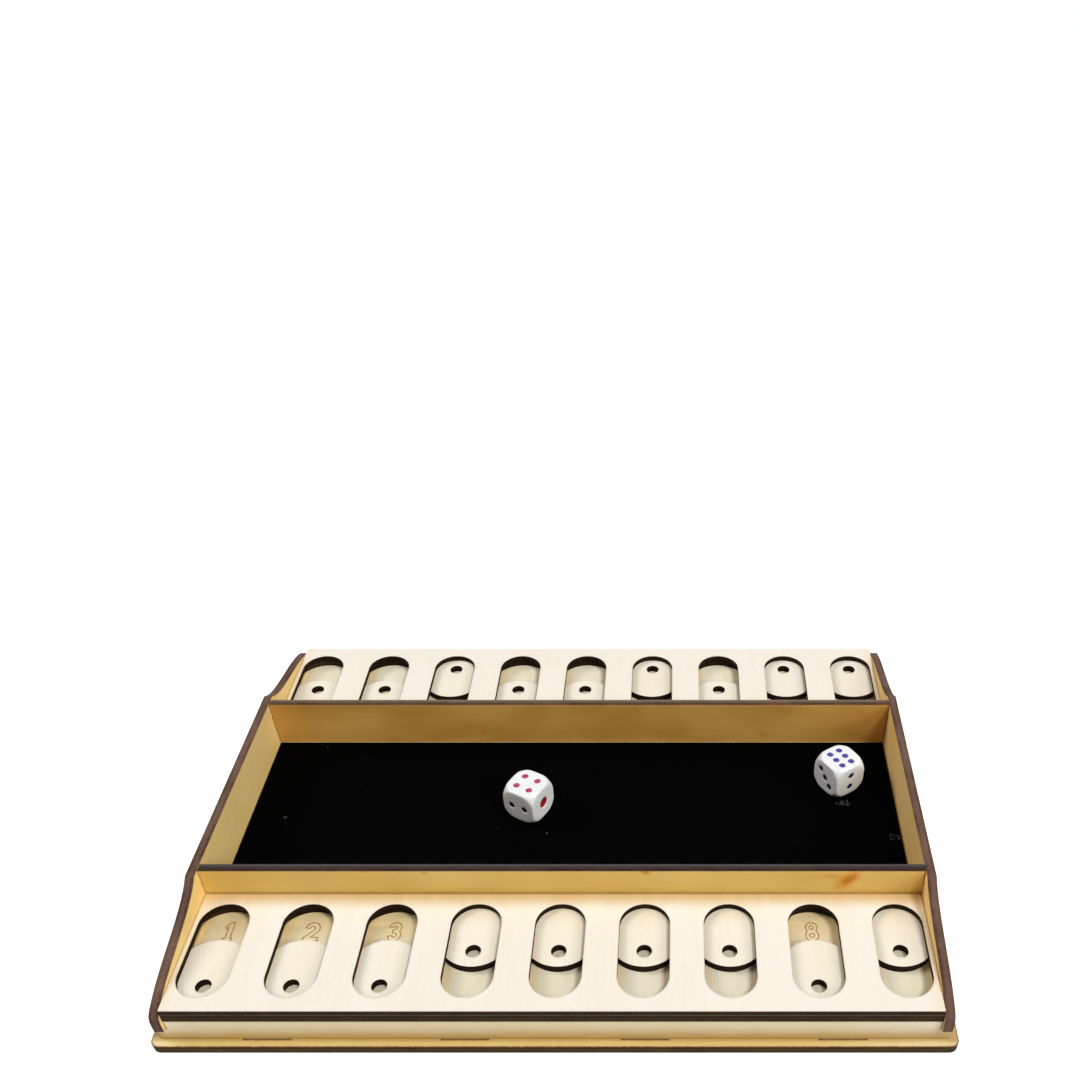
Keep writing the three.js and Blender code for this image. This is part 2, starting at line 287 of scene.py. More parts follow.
def plywood(name, pale, deep, streak, scorch=0.3, fibre=0.22, mottle=0.45, knots=(), painted_shade_and_tone=()):
    """Face of a plywood sheet: fine fibres along the grain, soft bands, flecks and scorched rims.

    A knot has a centre, a half length and half width, a turn and a strength. A band of painted
    shade, such as the painted shade beside a joint or along a window's sides, or of plain tone, is
    measured along an axis from an origin that may repeat, and has a place where it is full, one
    where it ends, a shade and a strength."""
    finish = Finish(name, Specular_IOR_Level=0.35)
    place = finish.attribute("grain")
    rim = finish.attribute("rim", "Fac")
    bands = finish.noise(place * (0.007, 0.11, 0.11), detail=3, roughness=0.55, distortion=0.4)
    fibres = finish.noise(place * (0.05, 1.9, 1.9), detail=4, roughness=0.6)
    threads = finish.noise(place * (0.12, 6.5, 6.5), detail=2)
    blotches = finish.noise(place * (0.03, 0.05, 0.05), detail=2)
    flecks = finish.noise(place * (0.35, 3.2, 3.2), detail=1).ranged(0.66, 0.76)
    tone = bands.ranged(0.3, 0.72) * (1 - mottle) + blotches.ranged(0.3, 0.7) * mottle
    colour = finish.mix(tone, pale, deep)
    colour = finish.mix(fibres.ranged(0.42, 0.72) * fibre, colour, streak)
    colour = finish.mix(threads.ranged(0.55, 0.75) * fibre * 0.4, colour, streak)
    colour = finish.mix(flecks * fibre * 0.8, colour, tint(186, 140, 92))
    for centre, reach, turn, strength in knots:
        offset = finish.node(
            "VectorRotate",
            {"rotation_type": "Z_AXIS"},
            {"Vector": place - centre, "Angle": math.radians(turn)},
        ) * (1 / reach[0], 1 / reach[1], 0)
        spread = offset.length() + (finish.noise(place * 0.35, detail=2) - 0.5) * 0.7
        colour = finish.mix(spread.ranged(1.35, 0.3) * strength, colour, tint(228, 150, 26))
        colour = finish.mix(spread.ranged(0.55, 0.15) * strength * 0.6, colour, tint(172, 100, 16))
    wander = (finish.noise(place * (0.1, 0.3, 0.3), detail=2) - 0.5) * 2
    # Bands laid by distance from a line: painted shade, and plain changes of tone
    for axis, origin, repeat, full, end, shade, strength in painted_shade_and_tone:
        along = finish.node("SeparateXYZ", {}, {0: finish.attribute("spot")}, axis) - origin
        fold = "PINGPONG" if repeat else "ABSOLUTE"
        away = finish.node("Math", {"operation": fold}, {0: along, 1: repeat / 2})
        away = away + wander * min(1, abs(end - full) / 4)
        colour = finish.mix(away.ranged(end, full) * strength, colour, shade)
    ragged = rim + (finish.noise(place * 0.9, detail=2) - 0.5) * 0.5
    colour = finish.mix(ragged.ranged(SCORCH_REACH * 0.75, 0.05) * scorch, colour, tint(176, 122, 66))
    colour = finish.mix(ragged.ranged(0.2, 0.0) * scorch, colour, tint(92, 60, 40))
    finish.set(Base_Color=colour, Roughness=0.5 + fibres * 0.22)
    finish.relief(fibres * 0.7 + threads * 0.3, 0.06 * MM)
    return finish.material


def scorched_edge(name, dark, light, layer_tint, painted_sheen=None):
    """Laser cut edge of a sheet: charred brown, paler along the middle ply and lightly ribbed.

    A painted sheen is a painted highlight: a greyer tone laid on an edge towards its sheet's rear face."""
    finish = Finish(name, Specular_IOR_Level=0.12)
    place = finish.attribute("grain")
    across = finish.node("SeparateXYZ", {}, {0: place}, "Z")
    char = finish.noise(place * (0.09, 0.09, 0.25), detail=3)
    soot = finish.noise(place * (0.8, 0.8, 2.2), detail=3, roughness=0.6)
    ribs = finish.noise(place * (2.6, 2.6, 0.12), detail=1)
    middle_ply = (across / SHEET - 0.5) * 2
    middle_ply = (middle_ply * middle_ply).ranged(0.2, 0.1)
    colour = finish.mix(char.ranged(0.32, 0.7) * 0.6 + soot.ranged(0.35, 0.7) * 0.3, dark, light)
    colour = finish.mix(middle_ply * 0.28, colour, layer_tint)
    colour = finish.mix(ribs.ranged(0.5, 0.7) * 0.25, colour, light)
    # Painted highlight towards the sheet's rear face
    if painted_sheen:
        colour = finish.mix(across.ranged(SHEET * 0.6, SHEET * 0.1) * 0.7, colour, painted_sheen)
    finish.set(Base_Color=colour, Roughness=0.72 + soot * 0.2)
    finish.relief(ribs * 0.6 + soot * 0.4, 0.09 * MM)
    return finish.material


def scored_line():
    """Line scored into a number board: the wood toasted to a light brown."""
    finish = Finish("scored_line", Specular_IOR_Level=0.25)
    toast = finish.noise(finish.attribute("grain") * 1.6, detail=2)
    colour = finish.mix(toast.ranged(0.3, 0.7), tint(164, 116, 58), tint(196, 150, 86))
    finish.set(Base_Color=colour, Roughness=0.8 + toast * 0.1)
    return finish.material


def felt():
    """Black felt: matted fibres, hardly any shine, a faint grey bloom where the nap stands up."""
    finish = Finish("felt", Specular_IOR_Level=0.02)
    place = finish.attribute("grain")
    nap = finish.noise(place, scale=2.6, detail=4, roughness=0.7)
    tufts = finish.noise(place, scale=0.55, detail=3, distortion=1.2)
    colour = finish.mix(nap.ranged(0.45, 0.8), tint(1, 1, 1), tint(6, 6, 7))
    colour = finish.mix(tufts.ranged(0.55, 0.75) * 0.4, colour, tint(6, 6, 8))
    finish.set(Base_Color=colour, Roughness=0.9 + nap * 0.1)
    finish.relief(nap * 0.7 + tufts * 0.3, 0.12 * MM)
    return finish.material


def lint():
    finish = Finish("lint", Specular_IOR_Level=0.2)
    shade = finish.noise(finish.attribute("grain"), scale=1.4, detail=2)
    finish.set(Base_Color=finish.mix(shade, tint(64, 66, 66), tint(128, 130, 128)), Roughness=0.9)
    return finish.material


def dice_plastic():
    """Glossy white plastic of the dice, with a trace of milkiness and faint handling marks."""
    finish = Finish("dice_plastic", Specular_IOR_Level=0.5, Subsurface_Weight=0.08, Subsurface_Scale=0.6 * MM)
    place = finish.attribute("grain")
    cast = finish.noise(place, scale=0.35, detail=2)
    marks = finish.noise(place * (1.5, 0.5, 1.0), scale=1.3, detail=4, roughness=0.7)
    colour = finish.mix(cast.ranged(0.3, 0.7), tint(252, 252, 251), tint(247, 248, 249))
    finish.set(Base_Color=colour, Roughness=0.2 + marks.ranged(0.5, 0.8) * 0.18)
    finish.relief(marks, 0.006 * MM)
    return finish.material


def pip_ink(name, colour, worn):
    """Paint in the pips: even, a little thinner and lighter in spots."""
    finish = Finish(name, Specular_IOR_Level=0.45)
    wear = finish.noise(finish.attribute("grain"), scale=1.6, detail=3)
    finish.set(Base_Color=finish.mix(wear.ranged(0.45, 0.8), colour, worn), Roughness=0.3 + wear * 0.15)
    return finish.material


PALE_FACE = plywood(
    "pale_face", tint(252, 246, 234), tint(250, 241, 224), tint(242, 226, 200), scorch=0.12,
    painted_shade_and_tone=(
        # Painted shade on the panel beside the partition, darkest in a thin line along the joint
        ("Y", 0, 0, BAND_START + 0.6, BAND_START + 8, tint(216, 176, 92), 0.8),
        ("Y", 0, 0, BAND_START + 0.3, BAND_START + 0.9, tint(150, 112, 40), 0.8),
        # Painted shade on the panel beside the side walls
        ("X", 0, 0, BOARD_HALF, BOARD_HALF - 5, tint(244, 214, 146), 0.25),
    ),
)
COVER_FACE = plywood(
    "cover_face", tint(252, 245, 230), tint(249, 239, 217), tint(240, 222, 190), scorch=0.08,
    painted_shade_and_tone=(
        # Painted shade on a cover towards the partition
        ("Y", 0, 0, CHANNEL_START + 2.1, CHANNEL_START + 10.1, tint(240, 214, 160), 0.35),
        # Painted shade along the sides of each window
        ("X", 0, PITCH, WINDOW_HALF, WINDOW_HALF - 1.8, tint(242, 216, 158), 0.45),
    ),
)
BOARD_FACE = plywood(
    "board_face", tint(255, 247, 224), tint(252, 240, 208), tint(242, 220, 176), scorch=0.2,
    painted_shade_and_tone=(
        # Painted shade on the board towards the partition
        ("Y", 0, 0, CHANNEL_START + 4.1, CHANNEL_START + 18.1, tint(232, 204, 134), 0.72),
        # Painted shade along the sides of each window
        ("X", 0, PITCH, WINDOW_HALF, WINDOW_HALF - 3.4, tint(226, 188, 114), 0.5),
    ),
)
BASE_FACE = plywood(
    "base_face", tint(230, 207, 142), tint(221, 195, 124), tint(204, 173, 100), scorch=1.0,
    painted_shade_and_tone=(
        # Paler towards both ends of the base
        ("X", BASE_HALF_WIDTH, 0, 5, 50, tint(242, 222, 172), 0.75),
        ("X", -BASE_HALF_WIDTH, 0, 2, 12, tint(242, 224, 176), 0.7),
        # Painted shade on the base at the foot of the front and rear walls
        ("Y", 0, 0, WALL_OUTER + 0.3, WALL_OUTER + 1.7, tint(176, 136, 56), 0.55),
    ),
)
END_FACE = plywood(
    "end_wall_face", tint(248, 234, 198), tint(243, 226, 184), tint(228, 204, 152),
    painted_shade_and_tone=(
        # Paler towards both ends of the wall
        ("X", OUTER_HALF, 0, 5, 45, tint(252, 242, 216), 0.7),
        ("X", -OUTER_HALF, 0, 2, 14, tint(252, 242, 214), 0.6),
        # Painted shade at the foot of the wall, darkest where it meets the base
        ("Y", 0, 0, SHEET, SHEET + 8, tint(200, 156, 62), 0.85),
    ),
)
# The side walls' inner faces are lit and shaded copies of one plywood: the left one, facing the lamps,
# painted lighter, the right one painted darker and more orange
LEFT_FACE = plywood(
    "left_wall_face", tint(255, 226, 152), tint(251, 214, 132), tint(235, 190, 106), mottle=0.6
)
RIGHT_FACE = plywood(
    "right_wall_face", tint(252, 215, 142), tint(245, 202, 122), tint(227, 176, 96), mottle=0.6
)
# The rear partition's face is darker and more orange than the front one's: partly its own tone, partly
# painted shade
REAR_FACE = plywood(
    "rear_partition_face", tint(239, 189, 100), tint(212, 154, 62), tint(197, 141, 57),
    fibre=0.14, mottle=0.75,
    knots=(
        ((22, 25.5, 0), (3.5, 1.4), 60, 0.35),
        ((-38, 15, 0), (4, 2), -50, 0.3),
        ((71, 13.5, 0), (3, 2), 20, 0.3),
    ),
)
KNOTTED_FACE = plywood(
    "knotted_face", tint(241, 207, 121), tint(234, 193, 99), tint(216, 172, 80), mottle=0.6,
    knots=(
        ((93.8, 24.1, 0), (6.4, 3.0), -55, 0.95),
        ((89, 25.8, 0), (8, 2), 0, 0.3),
        ((27.3, 28, 0), (2, 1.8), 0, 0.8),
        ((-44.7, 27.6, 0), (1.6, 1), 0, 0.4),
        ((-64.9, 28, 0), (1.4, 0.8), 0, 0.4),
    ),
)
PALE_EDGE = scorched_edge("pale_edge", tint(30, 18, 7), tint(62, 44, 22), tint(78, 57, 31))
BASE_EDGE = scorched_edge("base_edge", tint(42, 31, 11), tint(80, 63, 30), tint(98, 78, 40))
SIDE_EDGE = scorched_edge("side_wall_edge", tint(68, 44, 35), tint(126, 97, 84), tint(134, 106, 92))
FRONT_EDGE = scorched_edge(
    "front_partition_edge", tint(38, 28, 22), tint(66, 52, 42), tint(76, 60, 48), painted_sheen=tint(92, 88, 88)
)
REAR_EDGE = scorched_edge(
    "rear_partition_edge", tint(62, 42, 28), tint(104, 80, 60), tint(116, 92, 72), painted_sheen=tint(150, 130, 112)
)
# Cut edges round openings, and all of a cover's edges: charred, and darker than the outer cut edges by
# painted shade
BURNT_SHADED_EDGE = scorched_edge("burnt_shaded_edge", tint(13, 7, 3), tint(38, 24, 12), tint(50, 33, 19))
SCORED_LINE = scored_line()
FELT = felt()
LINT = lint()
DICE_PLASTIC = dice_plastic()


# Outlines in millimetres, each a list of points that closes on itself


def arc(centre, radius, start, end, steps=ARC_STEPS):
    """Points on an arc, with its angles in degrees."""
    points = []
    for step in range(steps + 1):
        angle = math.radians(start + (end - start) * step / steps)
        points.append((centre[0] + radius * math.cos(angle), centre[1] + radius * math.sin(angle)))
    return points


def circle(centre, radius, count):
    """Evenly spaced points all the way round."""
    step = 360 / count
    return arc(centre, radius, 0, 360 - step, count - 1)


def curve(start, start_pull, end_pull, end):
    """Points on a curve that leaves start towards one pull and reaches end from the other."""
    points = []
    for step in range(CURVE_STEPS + 1):
        t = step / CURVE_STEPS
        weights = ((1 - t) ** 3, 3 * t * (1 - t) ** 2, 3 * t**2 * (1 - t), t**3)
        parts = (start, start_pull, end_pull, end)
        points.append(tuple(sum(w * part[axis] for w, part in zip(weights, parts)) for axis in (X, Y)))
    return points


def rectangle(left, right, near, far):
    return [(left, near), (right, near), (right, far), (left, far)]


def tab_slot(x, y, half_x, half_y):
    """Opening round the middle of a tab, with a little play at each side."""
    half_x += FIT_GAP
    half_y += FIT_GAP
    return rectangle(x - half_x, x + half_x, y - half_y, y + half_y)


def crowned(centre, start, end, half, radius):
    """Straight sided outline along Y with two bowed ends; with radius = half it is a stadium."""
    corner = math.degrees(math.acos(half / radius))
    return (
        arc((centre, start + radius), radius, corner - 180, -corner)
        + arc((centre, end - radius), radius, corner, 180 - corner)
    )


def mirrored(points):
    """The same points on the other side of the Y axis, in reverse order."""
    return [(-x, y) for x, y in reversed(points)]


def signed_area(loop):
    return sum(a[0] * b[1] - b[0] * a[1] for a, b in zip(loop, loop[1:] + loop[:1])) / 2


def wound(loop, anticlockwise=True):
    """The loop without points that all but coincide, in the direction asked for."""
    kept = [p for p, q in zip(loop, loop[1:] + loop[:1]) if math.dist(p, q) > SHORTEST_STEP]
    return kept if (signed_area(kept) > 0) == anticlockwise else kept[::-1]


def inset(loop, distance):
    """Moves a loop sideways to its left by a distance, with mitred corners."""
    moved = []
    for before, point, after in zip(loop[-1:] + loop[:-1], loop, loop[1:] + loop[:1]):
        arriving = (Vector(point) - Vector(before)).normalized()
        leaving = (Vector(after) - Vector(point)).normalized()
        across = Vector((-arriving.y - leaving.y, arriving.x + leaving.x))
        across = across * (2 / across.length_squared)
        moved.append((point[0] + across.x * distance, point[1] + across.y * distance))
    return moved


# Meshes


def new_mesh(name, points, faces, finishes, materials):
    """A mesh from points in millimetres, with the number of a material for each face."""
    made = bpy.data.meshes.new(name)
    made.from_pydata([Vector(point) * MM for point in points], [], faces)
    made.polygons.foreach_set("material_index", finishes)
    for material in materials:
        made.materials.append(material)
    return made


def store_places(mesh, name, places):
    """Keeps a place for each point of a mesh, for the finishes to read."""
    data = mesh.attributes.new(name, "FLOAT_VECTOR", "POINT").data
    data.foreach_set("vector", [part for place in places for part in place])


class Pattern:
    """Points, faces and the finish of each face, gathered before they become one mesh."""

    def __init__(self, stand, grain):
        self.stand = stand
        self.grain = grain
        self.points = []
        self.rims = []
        self.faces = []
        self.finishes = []

    def point(self, place, rim=SCORCH_REACH):
        """Adds a point, so far from the nearest cut edge, and gives its number."""
        self.points.append(place)
        self.rims.append(rim)
        return len(self.points) - 1

    def ring(self, loop, height, rim):
        """Adds a loop at a height in the sheet and gives the numbers of its points."""
        return [self.point((x, y, height), rim) for x, y in loop]

    def face(self, corners, finish):
        self.faces.append(corners)
        self.finishes.append(finish)

    def band(self, lower, upper, finish):
        """Joins two rings with as many points as each other."""
        for a, b, c, d in zip(lower, lower[1:] + lower[:1], upper[1:] + upper[:1], upper):
            self.face((a, b, c, d), finish)

    def fill(self, boundary, holes, finish, upwards=True):
        """Closes the flat area inside a ring and outside others with triangles."""
        rings = [boundary] + holes
        numbers = [number for ring in rings for number in ring]
        flat = [Vector(self.points[number][:2]) for number in numbers]
        regions = []
        start = 0
        for ring in rings:
            region = list(range(start, start + len(ring)))
            loop = [tuple(flat[index]) for index in region]
            regions.append(region if signed_area(loop) > 0 else region[::-1])
            start += len(ring)
        result = delaunay_2d_cdt(flat, [], regions, 1, SAME_PLACE, True)
        triangles, point_sources, triangle_regions = result[2], result[3], result[5]
        origins = [source[0] for source in point_sources]
        for triangle, covering in zip(triangles, triangle_regions):
            if list(covering) != [0]:
                continue
            corners = [numbers[origins[index]] for index in triangle]
            self.face(tuple(corners if upwards else reversed(corners)), finish)

    def mesh(self, name, materials, smooth_below=SMOOTH_BELOW):
        placed = [self.stand(*point) for point in self.points]
        made = new_mesh(name, placed, self.faces, self.finishes, materials)
        store_places(made, "grain", [self.grain(*point) for point in self.points])
        store_places(made, "spot", self.points)
        made.attributes.new("rim", "FLOAT", "POINT").data.foreach_set("value", self.rims)
        made.shade_smooth()
        made.set_sharp_from_angle(angle=math.radians(smooth_below))
        made.validate()
        return made


def show(name, mesh, body, slot, *replaced):
    """Puts a mesh in the scene, on the body that carries it, in place of the model's node."""
    piece = bpy.data.objects.new(name, mesh)
    bpy.context.scene.collection.objects.link(piece)
    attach(piece, body)
    if replaced:
        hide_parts(*replaced)
    return piece


def lying(level, turned=False):
    """Places a sheet flat, with its underside at a level; turned is half a turn about Z."""
    sign = -1 if turned else 1
    return lambda u, v, w: (sign * u, sign * v, level + w)


def across_box(front):
    """Stands a sheet across the box: its outline's Y goes up, and its front face is at a depth."""
    return lambda u, v, w: (u, front + SHEET - w, v)


def along_box(left):
    """Stands a sheet along the box: its outline's X goes to the rear and its Y goes up."""
    return lambda u, v, w: (left + w, u, v)


VENEER_STEP = (331.7, 87.3)
sheet_numbers = itertools.count(1)


def grain_lines(along_x):
    """Gives each sheet its own stretch of veneer, with the grain along its outline's X or Y."""
    number = next(sheet_numbers)
    shift = (number * VENEER_STEP[X], number * VENEER_STEP[Y])
    if along_x:
        return lambda u, v, w: (u + shift[0], v + shift[1], w)
    return lambda u, v, w: (v + shift[0], u + shift[1], w)


def as_drawn(u, v, w):
    return u, v, w


FACE, EDGE, BURNT_SHADED, LINE = range(4)

# Bands of a cut edge's profile that look like the face: the lower rim, the upper round and upper rim
FACE_BANDS = (0, 5, 6)


def cut_sheet(name, outline, openings, thickness, stand, grain, materials, numbers=(), reach=SCORCH_REACH):
    """Cuts one sheet with rounded edges, scorched for a reach, and scores numbers into its top."""
    pattern = Pattern(stand, grain)
    rounding = EDGE_ROUND * (1 - math.sqrt(0.5))
    profile = (
        (reach, 0, SCORCH_REACH),
        (EDGE_ROUND, 0, 0),
        (rounding, rounding, 0),
        (0, EDGE_ROUND, 0),
        (0, thickness - EDGE_ROUND, 0),
        (rounding, thickness - rounding, 0),
        (EDGE_ROUND, thickness, 0),
        (reach, thickness, SCORCH_REACH),
    )
    bottoms, tops = [], []
    for number, loop in enumerate([wound(outline)] + [wound(opening, False) for opening in openings]):
        side = BURNT_SHADED if number else EDGE
        rings = [pattern.ring(inset(loop, offset), height, rim) for offset, height, rim in profile]
        for index, (lower, upper) in enumerate(zip(rings, rings[1:])):
            pattern.band(lower, upper, FACE if index in FACE_BANDS else side)
        bottoms.append(rings[0])
        tops.append(rings[-1])
    islands = []
    outer_lines = []
    for contours in numbers:
        drawn = []
        for loop in map(wound, contours):
            outside = pattern.ring(inset(loop, -SCORE_HALF_WIDTH), thickness, SCORCH_REACH)
            bottom = pattern.ring(loop, thickness - SCORE_DEPTH, SCORCH_REACH)
            inside = pattern.ring(inset(loop, SCORE_HALF_WIDTH), thickness, SCORCH_REACH)
            pattern.band(outside, bottom, LINE)
            pattern.band(bottom, inside, LINE)
            drawn.append((outside, inside))
        outer_lines.append(drawn[0][0])
        islands.append((drawn[0][1], [outside for outside, inside in drawn[1:]]))
        islands += [(inside, []) for outside, inside in drawn[1:]]
    pattern.fill(bottoms[0], bottoms[1:], FACE, upwards=False)
    pattern.fill(tops[0], tops[1:] + outer_lines, FACE)
    for boundary, holes in islands:
        pattern.fill(boundary, holes, FACE)
    return pattern.mesh(name, materials)


def add_sheet(node, slot, outline, openings, stand, grain, materials, thickness=SHEET, **details):
    """Cuts a sheet of the box and shows it in place of the model's node."""
    mesh = cut_sheet(node, outline, openings, thickness, stand, grain, materials, **details)
    show(f"plywood_{node}", mesh, "box", slot, node)


# Numbers


def digit_contours():
    """For each digit from 1 to 9 its outline, then its closed counters, from its lower left corner."""
    one = [[(1.1, 6.1), (2.75, 7.9), (4.15, 7.9), (4.15, 1.2), (4.75, 1.2), (4.75, 0),
            (1.65, 0), (1.65, 1.2), (2.35, 1.2), (2.35, 5.75), (1.8, 5.15)]]
    bowl = (2.85, 5.25)
    two = [[(0.25, 0), (5.6, 0), (5.6, 1.55), (2.75, 1.55)]
           + arc(bowl, 2.65, -35, 172, 14) + arc(bowl, 1.0, 172, -35, 9) + [(0.25, 1.4)]]
    upper, lower = (2.7, 5.62), (2.75, 2.4)
    three = [arc(lower, 2.4, 188, 405.9, 16) + arc(upper, 2.28, -41, 172, 14)
             + arc(upper, 0.75, 172, -80, 8) + [(1.9, 4.7), (1.9, 3.35)] + arc(lower, 0.85, 78, -172, 8)]
    four = [[(3.2, 0), (4.85, 0), (4.85, 1.6), (5.75, 1.6), (5.75, 3.05), (4.85, 3.05),
             (4.85, 7.9), (2.95, 7.9), (0.05, 3.05), (0.05, 1.6), (3.2, 1.6)],
            [(3.2, 3.05), (3.2, 5.75), (1.6, 3.05)]]
    bowl = (2.75, 2.6)
    five = [[(0.75, 7.9), (5.2, 7.9), (5.2, 6.4), (2.25, 6.4), (2.15, 5.12)]
            + arc(bowl, 2.6, 96, -165, 18) + arc(bowl, 1.0, -165, 128, 12) + [(0.5, 3.5)]]
    bowl = (2.9, 2.65)
    six = [[(4.75, 7.9), (2.8, 7.9)] + arc(bowl, 2.65, 163, 436, 22), arc(bowl, 1.05, 0, 342, 14)]
    seven = [[(0.4, 7.9), (5.6, 7.9), (5.6, 6.45), (3.05, 0), (1.2, 0), (3.65, 6.35), (0.4, 6.35)]]
    upper, lower = (2.9, 5.75), (2.9, 2.4)
    eight = [arc(lower, 2.4, 129.8, 410.2, 20) + arc(upper, 2.15, -44.4, 224.4, 18),
             arc(lower, 0.92, 0, 342, 12), arc(upper, 0.8, 0, 342, 12)]
    nine = [[(DIGIT_WIDTH - x, DIGIT_HEIGHT - y) for x, y in contour] for contour in six]
    return one, two, three, four, five, six, seven, eight, nine


def numbers_for_board():
    """The nine numbers where the rear player's covers hide them, upright for that player."""
    def turned(contour, place):
        return [(place + (DIGIT_WIDTH / 2 - x) * DIGIT_SCALE[X],
                 DIGIT_PLACE + (DIGIT_HEIGHT / 2 - y) * DIGIT_SCALE[Y]) for x, y in contour]
    pairs = zip(digit_contours(), reversed(ROW_PLACES))
    return [[turned(contour, place) for contour in contours] for contours, place in pairs]


# Box


def lower_edge_with_tabs(half, centres):
    points = [(-half, SHEET)]
    for centre in centres:
        start, end = centre - TAB_WIDTH / 2, centre + TAB_WIDTH / 2
        points += [(start, SHEET), (start, 0), (end, 0), (end, SHEET)]
    return points + [(half, SHEET)]


def base_plate():
    end = BASE_HALF_WIDTH - BASE_CORNER_RADIUS
    rear = BASE_HALF_DEPTH - BASE_CORNER_RADIUS
    corners = ((end, rear, 0), (-end, rear, 90), (-end, -rear, 180), (end, -rear, 270))
    outline = []
    for x, y, start in corners:
        outline += arc((x, y), BASE_CORNER_RADIUS, start, start + 90, BASE_CORNER_STEPS)
    slots = []
    for side in (-1, 1):
        depth = side * (WALL_INNER + WALL_OUTER) / 2
        width = side * (INNER_HALF + OUTER_HALF) / 2
        for share in CROSS_TAB_SHARES:
            slots.append(tab_slot(share * INNER_HALF, depth, TAB_WIDTH / 2, SHEET / 2))
        for share in LENGTH_TAB_SHARES:
            slots.append(tab_slot(width, share * WALL_INNER, SHEET / 2, TAB_WIDTH / 2))
    materials = (BASE_FACE, BASE_EDGE, BURNT_SHADED_EDGE)
    mesh = cut_sheet("base", outline, slots, SHEET, lying(0), grain_lines(True), materials)
    show("plywood_base", mesh, "box", "pale_plywood", "base_plate")


def inner_boards():
    materials = (BOARD_FACE, PALE_EDGE, BURNT_SHADED_EDGE)
    for node in ["floor_board"] + [f"support_strip_{number}" for number in range(1, SUPPORT_STRIPS + 1)]:
        outline = rectangle(-BOARD_HALF, BOARD_HALF, low(node, Y), high(node, Y))
        add_sheet(node, "board_plywood", outline, [], lying(low(node, Z)), grain_lines(True), materials)


def end_walls():
    right = [(OUTER_HALF, FINGER_TOP), (BOARD_HALF, FINGER_TOP), (BOARD_HALF, NUMBER_TOP)]
    outline = lower_edge_with_tabs(OUTER_HALF, [share * INNER_HALF for share in CROSS_TAB_SHARES])
    outline += right + mirrored(right)
    materials = (END_FACE, PALE_EDGE, BURNT_SHADED_EDGE)
    for side in SIDES:
        node = f"{side}_wall"
        add_sheet(node, "wall_plywood", outline, [], across_box(low(node, Y)), grain_lines(True), materials)


def partitions():
    bottom = PARTITION_MIDDLE - PARTITION_TAB_HALF
    top = PARTITION_MIDDLE + PARTITION_TAB_HALF
    half = [(BOARD_HALF, FLOOR_TOP), (BOARD_HALF, bottom), (OUTER_HALF, bottom), (OUTER_HALF, top),
            (BOARD_HALF, top), (BOARD_HALF, BOX_HEIGHT)]
    outline = half + mirrored(half)
    dressed = (("front", KNOTTED_FACE, FRONT_EDGE), ("rear", REAR_FACE, REAR_EDGE))
    for side, face, edge in dressed:
        node = f"{side}_partition"
        materials = (face, edge, BURNT_SHADED_EDGE)
        add_sheet(node, "wall_plywood", outline, [], across_box(low(node, Y)), as_drawn, materials)


def side_walls():
    shoulder = PARTITION_OUTER + SHOULDER_REACH
    knee = WALL_OUTER - KNEE_SETBACK
    nose = WALL_OUTER + NOSE_OVERHANG
    knee_height = PANEL_TOP - KNEE_DROP
    nose_height = knee_height - NOSE_DROP
    scoop = [(shoulder + run * (knee - shoulder), BOX_HEIGHT - drop * (BOX_HEIGHT - knee_height))
             for run, drop in SCOOP_SHARES]
    tip = [(knee + run * (nose - knee), knee_height - drop * NOSE_DROP) for run, drop in NOSE_SHARES]
    foot = WALL_INNER - FIT_GAP
    notch = FINGER_TOP + FIT_GAP
    rear_end = [(foot, notch), (nose, notch)]
    rear_end += curve((nose, nose_height), tip[1], tip[0], (knee, knee_height))
    rear_end += curve((knee, knee_height), scoop[1], scoop[0], (shoulder, BOX_HEIGHT))
    outline = lower_edge_with_tabs(foot, [share * WALL_INNER for share in LENGTH_TAB_SHARES])
    outline += rear_end + mirrored(rear_end)
    centre = (PARTITION_INNER + PARTITION_OUTER) / 2
    slots = [tab_slot(side * centre, PARTITION_MIDDLE, SHEET / 2, PARTITION_TAB_HALF) for side in (-1, 1)]
    for side, face in (("left", LEFT_FACE), ("right", RIGHT_FACE)):
        node = f"side_wall_{side}"
        materials = (face, SIDE_EDGE, BURNT_SHADED_EDGE)
        add_sheet(node, "wall_plywood", outline, slots, along_box(low(node, X)), grain_lines(True), materials)


# Layers of each player's half


def add_layers(layer, slot, outline, openings, materials, **details):
    """Adds a layer to both halves, drawn for the rear one and turned half a turn for the front one."""
    for side in SIDES:
        node = f"{side}_{layer}"
        stand = lying(low(node, Z), side == "front")
        add_sheet(node, slot, outline, openings, stand, grain_lines(False), materials, **details)


def number_boards():
    outline = rectangle(-BOARD_HALF, BOARD_HALF, BAND_START, high("rear_number_board", Y))
    materials = (BOARD_FACE, PALE_EDGE, BURNT_SHADED_EDGE, SCORED_LINE)
    add_layers("number_board", "board_plywood", outline, [], materials, numbers=numbers_for_board())


